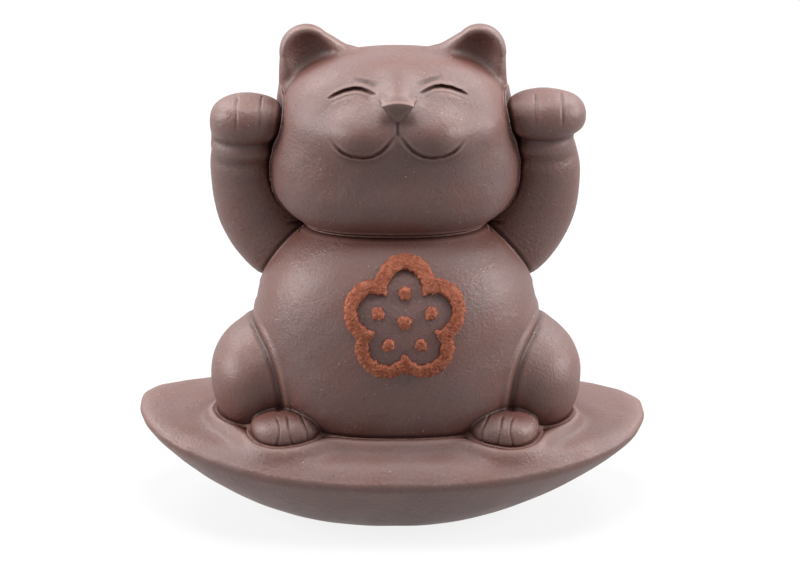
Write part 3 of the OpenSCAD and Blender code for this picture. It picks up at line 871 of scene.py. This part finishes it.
def white_paper(tree, colours):
    """Seamless white paper sweep: even white to the eye, with the figure's soft shadow on it."""
    ray = add(tree, "ShaderNodeLightPath")
    tone = add(tree, "ShaderNodeMix", {
        "Factor": ray.outputs["Is Camera Ray"],
        MIX_A: (*colours.paper_bounce, 1), MIX_B: (*colours.paper, 1)}, data_type="RGBA")
    paper = add(tree, "ShaderNodeBsdfDiffuse", {"Color": tone.outputs[MIX_OUT]})
    glow = add(tree, "ShaderNodeEmission", {"Color": (1, 1, 1, 1), "Strength": 1.0})
    return add(tree, "ShaderNodeMixShader", {
        "Fac": shown(tree, 0.85, 0).outputs["Result"],
        1: paper.outputs["BSDF"], 2: glow.outputs["Emission"]})


def material(look):
    """The material of a look, made once."""
    name = {
        stoneware: "unglazed_purple_stoneware",
        sandy_slip: "sandy_clay_slip",
        coarse_red_clay: "coarse_red_clay",
        white_paper: "white_paper_sweep",
    }[look]
    if name in bpy.data.materials:
        return bpy.data.materials[name]
    made = bpy.data.materials.new(name)
    made.use_nodes = True
    tree = made.node_tree
    tree.nodes.clear()
    surface = look(tree, bpy.context.scene.lucky_cat_colours)
    add(tree, "ShaderNodeOutputMaterial", {"Surface": surface.outputs[0]})
    return made


# Sand on the clay

def sand_tree():
    """Geometry nodes that press sand grains into a surface."""
    name = "sand_on_clay"
    if name in bpy.data.node_groups:
        return bpy.data.node_groups[name]
    tree = bpy.data.node_groups.new(name, "GeometryNodeTree")
    sockets = (
        ("Geometry", "INPUT", "Geometry"),
        ("Grain size", "INPUT", "Float"),
        ("Grains per square metre", "INPUT", "Float"),
        ("Seed", "INPUT", "Int"),
        ("Clay", "INPUT", "Material"),
        ("Geometry", "OUTPUT", "Geometry"),
    )
    for label, way, kind in sockets:
        tree.interface.new_socket(label, in_out=way, socket_type="NodeSocket" + kind)
    given = add(tree, "NodeGroupInput").outputs
    spots = add(tree, "GeometryNodeDistributePointsOnFaces", {
        "Mesh": given["Geometry"], "Density": given["Grains per square metre"], "Seed": given["Seed"]})
    half = add(tree, "ShaderNodeMath", {0: given["Grain size"], 1: 0.5}, operation="MULTIPLY")
    grain = add(tree, "GeometryNodeMeshIcoSphere", {"Radius": half.outputs["Value"], "Subdivisions": 1})
    turn = add(tree, "FunctionNodeRandomValue", {
        0: (0.0, 0.0, 0.0), 1: (math.tau, math.tau, math.tau), "Seed": given["Seed"]},
        data_type="FLOAT_VECTOR")
    size = add(tree, "FunctionNodeRandomValue", {
        0: (0.5, 0.5, 0.4), 1: (1.3, 1.2, 0.9), "Seed": given["Seed"]}, data_type="FLOAT_VECTOR")
    grains = add(tree, "GeometryNodeInstanceOnPoints", {
        "Points": spots.outputs["Points"], "Instance": grain.outputs["Mesh"],
        "Rotation": turn.outputs[0], "Scale": size.outputs[0]})
    both = add(tree, "GeometryNodeJoinGeometry")
    tree.links.new(grains.outputs["Instances"], both.inputs["Geometry"])
    tree.links.new(given["Geometry"], both.inputs["Geometry"])
    solid = add(tree, "GeometryNodeRealizeInstances", {"Geometry": both.outputs["Geometry"]})
    dressed = add(tree, "GeometryNodeSetMaterial", {
        "Geometry": solid.outputs["Geometry"], "Material": given["Clay"]})
    add(tree, "NodeGroupOutput", {"Geometry": dressed.outputs["Geometry"]})
    return tree


def press_sand(obj, look, size, per_square_mm, seed):
    """Presses sand grains into a piece and leaves it a plain mesh."""
    modifier = obj.modifiers.new("sand", "NODES")
    modifier.node_group = sand_tree()
    values = {
        "Grain size": size,
        "Grains per square metre": per_square_mm / MM ** 2,
        "Seed": seed,
        "Clay": material(look),
    }
    for item in modifier.node_group.interface.items_tree:
        if item.in_out == "INPUT" and item.name in values:
            modifier[item.identifier] = values[item.name]
    graph = bpy.context.evaluated_depsgraph_get()
    made = bpy.data.meshes.new_from_object(obj.evaluated_get(graph))
    obj.modifiers.clear()
    obj.data = made


# Sizes and colours

class LuckyCatSizes(bpy.types.PropertyGroup):
    """Sizes that a maker would change."""

    bead: bpy.props.FloatProperty(
        name="Joint bead", description="Thickness of the slip pressed out of the joints",
        default=0.5 * MM, min=0.2 * MM, max=2 * MM, precision=5, unit="LENGTH")
    seat_bead: bpy.props.FloatProperty(
        name="Seat bead", description="Thickness of the bead of slip round the seat",
        default=0.9 * MM, min=0.4 * MM, max=3 * MM, precision=5, unit="LENGTH")
    blossom_rise: bpy.props.FloatProperty(
        name="Blossom rise", description="Height of the blossom above the belly",
        default=0.8 * MM, min=0.3 * MM, max=1.5 * MM, precision=5, unit="LENGTH")
    blossom_line: bpy.props.FloatProperty(
        name="Blossom line", description="Width of the blossom's outline",
        default=2.0 * MM, min=1.0 * MM, max=2.6 * MM, precision=5, unit="LENGTH")
    sand: bpy.props.FloatProperty(
        name="Sand", description="Size of the grains in the coarse clay",
        default=0.28 * MM, min=0.1 * MM, max=0.8 * MM, precision=5, unit="LENGTH")


class LuckyCatColours(bpy.types.PropertyGroup):
    """Colours of the fired clays and the paper."""

    clay: bpy.props.FloatVectorProperty(
        name="Clay", description="Body of the stoneware", subtype="COLOR", default=linear("#744d45"))
    clay_mauve: bpy.props.FloatVectorProperty(
        name="Mauve clouds", description="Greyer clouds from the kiln", subtype="COLOR",
        default=linear("#725652"))
    # Painted shade: the clay is drawn redder and darker where the figure closes in on itself
    clay_painted_shade: bpy.props.FloatVectorProperty(
        name="Painted shade in hollows", description="Redder, darker clay painted where the figure closes in, as shade", subtype="COLOR",
        default=linear("#673a31"))
    # Painted shade in the creases, and the clay's own dark pin holes
    clay_pits_and_crease_shade: bpy.props.FloatVectorProperty(
        name="Creases", description="Clay in pin holes, and painted shade in creases", subtype="COLOR",
        default=linear("#3a2019"))
    clay_pale: bpy.props.FloatVectorProperty(
        name="Rubbed edges", description="Clay on edges that hands have rubbed", subtype="COLOR",
        default=linear("#a3867e"))
    clay_sand: bpy.props.FloatVectorProperty(
        name="Sand", description="Pale sand grains in the clay", subtype="COLOR",
        default=linear("#c9b0a4"))
    slip: bpy.props.FloatVectorProperty(
        name="Slip", description="Sandy slip in the joints", subtype="COLOR", default=linear("#886860"))
    red_clay: bpy.props.FloatVectorProperty(
        name="Red clay", description="Coarse clay of the blossom", subtype="COLOR",
        default=linear("#9d5138"))
    red_clay_pale: bpy.props.FloatVectorProperty(
        name="Red clay, pale grains", description="Paler grains in the red clay", subtype="COLOR",
        default=linear("#bd7355"))
    paper: bpy.props.FloatVectorProperty(
        name="Paper", description="Floor that the figure stands on", subtype="COLOR",
        default=linear("#f0f0f0"))
    paper_bounce: bpy.props.FloatVectorProperty(
        name="Paper bounce", description="Floor as it lights the figure from below", subtype="COLOR",
        default=linear("#909090"))


# Operators

class LUCKYCAT_OT_ingot(bpy.types.Operator):
    """Make the boat-shaped base and dress the slab that closes its foot"""

    bl_idname = "lucky_cat.ingot"
    bl_label = "Ingot base"

    def execute(self, context):
        clay_piece("ingot_shell", "ingot", 0.42)
        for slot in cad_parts["foot_slab"].material_slots:
            slot.material = material(stoneware)
        return {"FINISHED"}


class LUCKYCAT_OT_torso(bpy.types.Operator):
    """Make the front and back halves of the torso"""

    bl_idname = "lucky_cat.torso"
    bl_label = "Torso halves"

    def execute(self, context):
        clay_piece("torso_front_shell", "torso", 0.3, "front")
        clay_piece("torso_back_shell", "torso", 0.36, "back")
        return {"FINISHED"}


class LUCKYCAT_OT_head(bpy.types.Operator):
    """Make the face and the back of the head"""

    bl_idname = "lucky_cat.head"
    bl_label = "Head halves"

    def execute(self, context):
        clay_piece("face_shell", "head", 0.2, "front")
        clay_piece("head_back_shell", "head", 0.34, "back")
        return {"FINISHED"}


class LUCKYCAT_OT_ears(bpy.types.Operator):
    """Make both scooped ears"""

    bl_idname = "lucky_cat.ears"
    bl_label = "Ears"

    def execute(self, context):
        for node in ("left_ear", "right_ear"):
            clay_piece(node, node, 0.18)
        return {"FINISHED"}


class LUCKYCAT_OT_arms(bpy.types.Operator):
    """Make both raised arms with their paws"""

    bl_idname = "lucky_cat.arms"
    bl_label = "Arms and paws"

    def execute(self, context):
        for node in ("left_arm", "right_arm"):
            clay_piece(node, node, 0.2)
        return {"FINISHED"}


class LUCKYCAT_OT_legs(bpy.types.Operator):
    """Make the thighs and the feet"""

    bl_idname = "lucky_cat.legs"
    bl_label = "Thighs and feet"

    def execute(self, context):
        for node in ("left_thigh", "right_thigh"):
            clay_piece(node, node, 0.25)
        for node in ("left_foot", "right_foot"):
            clay_piece(node, node, 0.17)
        return {"FINISHED"}


class LUCKYCAT_OT_tail(bpy.types.Operator):
    """Make the tail curled on the seat behind"""

    bl_idname = "lucky_cat.tail"
    bl_label = "Tail"

    def execute(self, context):
        clay_piece("tail", "tail", 0.24)
        return {"FINISHED"}


class LUCKYCAT_OT_joints(bpy.types.Operator):
    """Make the slip in the neck and in the mould seams of head and torso"""

    bl_idname = "lucky_cat.joints"
    bl_label = "Slip in the joints"

    def execute(self, context):
        r = context.scene.lucky_cat_sizes.bead / MM / 2
        thin = np.array((fine(0.22), (SEAM_HIGH[1] - SEAM_LOW[1]) / 4, fine(0.22)))
        for node, own in (("head_seam_slip", "head"), ("torso_seam_slip", "torso")):
            obj = mesh_object(node + "_line", *shaped(node, own, thin, "seam"))
            finish(obj, stoneware, "pale_slip", node)

        def ring(x, y, z):
            return np.hypot(head_form(x, y, z) - r / 2, torso_form(x, y, z) - r / 2) - r

        low, high = span("neck_slip_ring")
        room = np.array((3, 3, 2))
        obj = mesh_object("neck_slip_ring_bead", *bead_skin(ring, low - room, high + room, fine(0.14)))
        finish(obj, sandy_slip, "pale_slip", "neck_slip_ring")
        return {"FINISHED"}


class LUCKYCAT_OT_seat_slip(bpy.types.Operator):
    """Make the bead of sandy slip that lutes the cat to its seat"""

    bl_idname = "lucky_cat.seat_slip"
    bl_label = "Slip round the seat"

    def execute(self, context):
        sizes = context.scene.lucky_cat_sizes
        r = sizes.seat_bead / MM / 2

        def bead(x, y, z):
            cat = torso_form(x, y, z)
            for name in ("left_thigh", "right_thigh", "left_foot", "right_foot", "tail"):
                cat = np.minimum(cat, FORMS[name][0](x, y, z))
            lump = 0.15 * np.sin(0.9 * x + 0.5) * np.sin(0.8 * y)
            return np.hypot(cat - 0.7 * r, 1.3 * ingot_form(x, y, z)) - r * (1 + lump)

        low, high = span("seat_slip")
        room = np.array((2, 2, 3))
        obj = mesh_object("seat_slip_bead", *bead_skin(bead, low - room, high + room, fine(0.2)))
        press_sand(obj, sandy_slip, 0.7 * sizes.sand, per_square_mm=1.2, seed=4)
        finish(obj, None, "pale_slip", "seat_slip")
        return {"FINISHED"}


class LUCKYCAT_OT_blossom(bpy.types.Operator):
    """Make the raised blossom of coarse red clay on the belly"""

    bl_idname = "lucky_cat.blossom"
    bl_label = "Belly blossom"

    def execute(self, context):
        sizes = context.scene.lucky_cat_sizes
        rise, line = sizes.blossom_rise / MM, sizes.blossom_line / MM
        middle = (BLOSSOM_LOW + BLOSSOM_HIGH) / 2
        petal_r = (BLOSSOM_HIGH[0] - BLOSSOM_LOW[0]) / 3.9
        turns = [math.radians(90 + 72 * i) for i in range(5)]
        drop, soft, depth = 0.4, 0.4, 0.5

        def blossom(x, y, z):
            u, v = x - middle[0], z - middle[2] + drop
            ragged = 0.12 * np.sin(2.9 * u + 1.3) * np.sin(2.6 * v + 0.4)
            ragged = ragged + 0.07 * np.sin(6.1 * u - 5.2 * v)
            petals, pips = FAR, FAR
            for turn in turns:
                c, s = petal_r * math.cos(turn), petal_r * math.sin(turn)
                petals = np.minimum(petals, np.hypot(u - c, v - s) - petal_r)
                pips = np.minimum(pips, np.hypot(u - 0.9 * c, v - 0.9 * s) - 0.48 * line)
            heart = np.hypot(u, v)
            rim = trim(trim(petals, -(petals + line), soft), petal_r - heart, soft)
            flat = np.minimum(np.minimum(rim, pips), heart - line / 2) + ragged
            skin_d = torso_form(x, y, z)
            return np.maximum(trim(flat, skin_d - rise, 0.7), -depth - skin_d)

        room = np.array((0.8, 1.2, 0.8))
        low, high = BLOSSOM_LOW - room, BLOSSOM_HIGH + room
        obj = mesh_object("belly_ornament_relief", *bead_skin(blossom, low, high, fine(0.15)))
        press_sand(obj, coarse_red_clay, sizes.sand, per_square_mm=6.0, seed=7)
        finish(obj, None, "red_clay", "belly_ornament")
        return {"FINISHED"}


class LUCKYCAT_OT_stage(bpy.types.Operator):
    """Lay the white paper and set the lamps and the camera"""

    bl_idname = "lucky_cat.stage"
    bl_label = "Paper, lamps and camera"

    def execute(self, context):
        # The paper starts just in front of the figure, lies under it and curves up to a wall behind it
        wide, front, back, bend, top = 3.0, 0.16, 1.0, 0.4, 2.0
        turns = np.linspace(0, math.pi / 2, 9)
        line = [(-front, 0.0)]
        line += [(back - bend + bend * math.sin(t), bend - bend * math.cos(t)) for t in turns]
        line += [(back, top)]
        points = [(x, y, z) for y, z in line for x in (-wide, wide)]
        faces = [(2 * i, 2 * i + 1, 2 * i + 3, 2 * i + 2) for i in range(len(line) - 1)]
        mesh = bpy.data.meshes.new("paper_sweep")
        mesh.from_pydata(points, [], faces)
        mesh.materials.append(material(white_paper))
        paper = bpy.data.objects.new("paper_sweep", mesh)
        context.collection.objects.link(paper)
        paper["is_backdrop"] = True

        # Softboxes: degrees round from the front, degrees up, width and power
        middle, away = np.array((0.0, 0.0, 0.04)), 0.7
        lamps = (
            ("side", (85, -85), 25, 0.3, 4.1),
            ("back", (138, -138), 45, 0.3, 2.6),
            ("front_side", (55, -55), 25, 0.3, 0.15),
            ("top", (0,), 82, 0.3, 2.6),
        )
        for name, turns, up, size, power in lamps:
            for turn in turns:
                a, b = math.radians(turn), math.radians(up)
                place = middle + away * np.array(
                    (math.sin(a) * math.cos(b), -math.cos(a) * math.cos(b), math.sin(b)))
                lamp = bpy.data.lights.new(name + "_softbox", "AREA")
                lamp.shape = "SQUARE"
                lamp.size = size
                lamp.energy = power
                obj = bpy.data.objects.new(name + "_softbox", lamp)
                obj.location = place
                obj.rotation_euler = aim(place, middle)
                context.collection.objects.link(obj)

        # The room beyond the paper is white to the eye, and gives the figure next to no light
        world = bpy.data.worlds.new("white_room")
        world.use_nodes = True
        tree = world.node_tree
        tree.nodes.clear()
        sky = add(tree, "ShaderNodeBackground", {
            "Color": (1, 1, 1, 1), "Strength": shown(tree, 1.0, 0.01).outputs["Result"]})
        add(tree, "ShaderNodeOutputWorld", {"Surface": sky.outputs["Background"]})
        context.scene.world = world

        # Where the camera stood: a little above level, with a long lens
        target, away = np.array((0.8, 0.0, 34.0)) * MM, 450 * MM
        rise = math.radians(17)
        place = target + away * np.array((0, -math.cos(rise), math.sin(rise)))
        picture_width, focal_length = 800, 2821.5
        data = bpy.data.cameras.new("camera")
        data.sensor_width = 36
        data.lens = data.sensor_width * focal_length / picture_width
        camera = bpy.data.objects.new("camera", data)
        camera.location = place
        camera.rotation_euler = aim(place, target)
        context.collection.objects.link(camera)
        context.scene.camera = camera
        context.scene.view_settings.view_transform = "Standard"
        return {"FINISHED"}


def aim(place, target):
    """Turn that points a lamp or camera from a place to a target."""
    x, y, z = target - place
    return math.atan2(math.hypot(x, y), -z), 0.0, math.atan2(y, x) - math.pi / 2


class LUCKYCAT_PT_panel(bpy.types.Panel):
    """Pieces of the figurine, with their sizes and colours"""

    bl_idname = "LUCKYCAT_PT_panel"
    bl_label = "Lucky cat"
    bl_space_type = "VIEW_3D"
    bl_region_type = "UI"
    bl_category = "Lucky cat"

    def draw(self, context):
        for operator in OPERATORS:
            self.layout.operator(operator.bl_idname)
        for group in (context.scene.lucky_cat_sizes, context.scene.lucky_cat_colours):
            for name in group.__annotations__:
                self.layout.prop(group, name)


OPERATORS = (
    LUCKYCAT_OT_ingot,
    LUCKYCAT_OT_torso,
    LUCKYCAT_OT_head,
    LUCKYCAT_OT_ears,
    LUCKYCAT_OT_arms,
    LUCKYCAT_OT_legs,
    LUCKYCAT_OT_tail,
    LUCKYCAT_OT_joints,
    LUCKYCAT_OT_seat_slip,
    LUCKYCAT_OT_blossom,
    LUCKYCAT_OT_stage,
)
CLASSES = (LuckyCatSizes, LuckyCatColours, *OPERATORS, LUCKYCAT_PT_panel)


def register():
    """Adds the classes and the figurine's properties."""
    for cls in CLASSES:
        bpy.utils.register_class(cls)
    bpy.types.Scene.lucky_cat_sizes = bpy.props.PointerProperty(type=LuckyCatSizes)
    bpy.types.Scene.lucky_cat_colours = bpy.props.PointerProperty(type=LuckyCatColours)


def unregister():
    """Takes them away again."""
    del bpy.types.Scene.lucky_cat_sizes
    del bpy.types.Scene.lucky_cat_colours
    for cls in reversed(CLASSES):
        bpy.utils.unregister_class(cls)


def main():
    """Makes the whole figurine and its stage."""
    register()
    for operator in OPERATORS:
        group, name = operator.bl_idname.split(".")
        getattr(getattr(bpy.ops, group), name)()
    boxes = {"cad": CAD_BOX, "visual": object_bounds()}
    {key: [list(map(float, corner)) for corner in box] for key, box in boxes.items()}


if __name__ == "__main__":
    main()
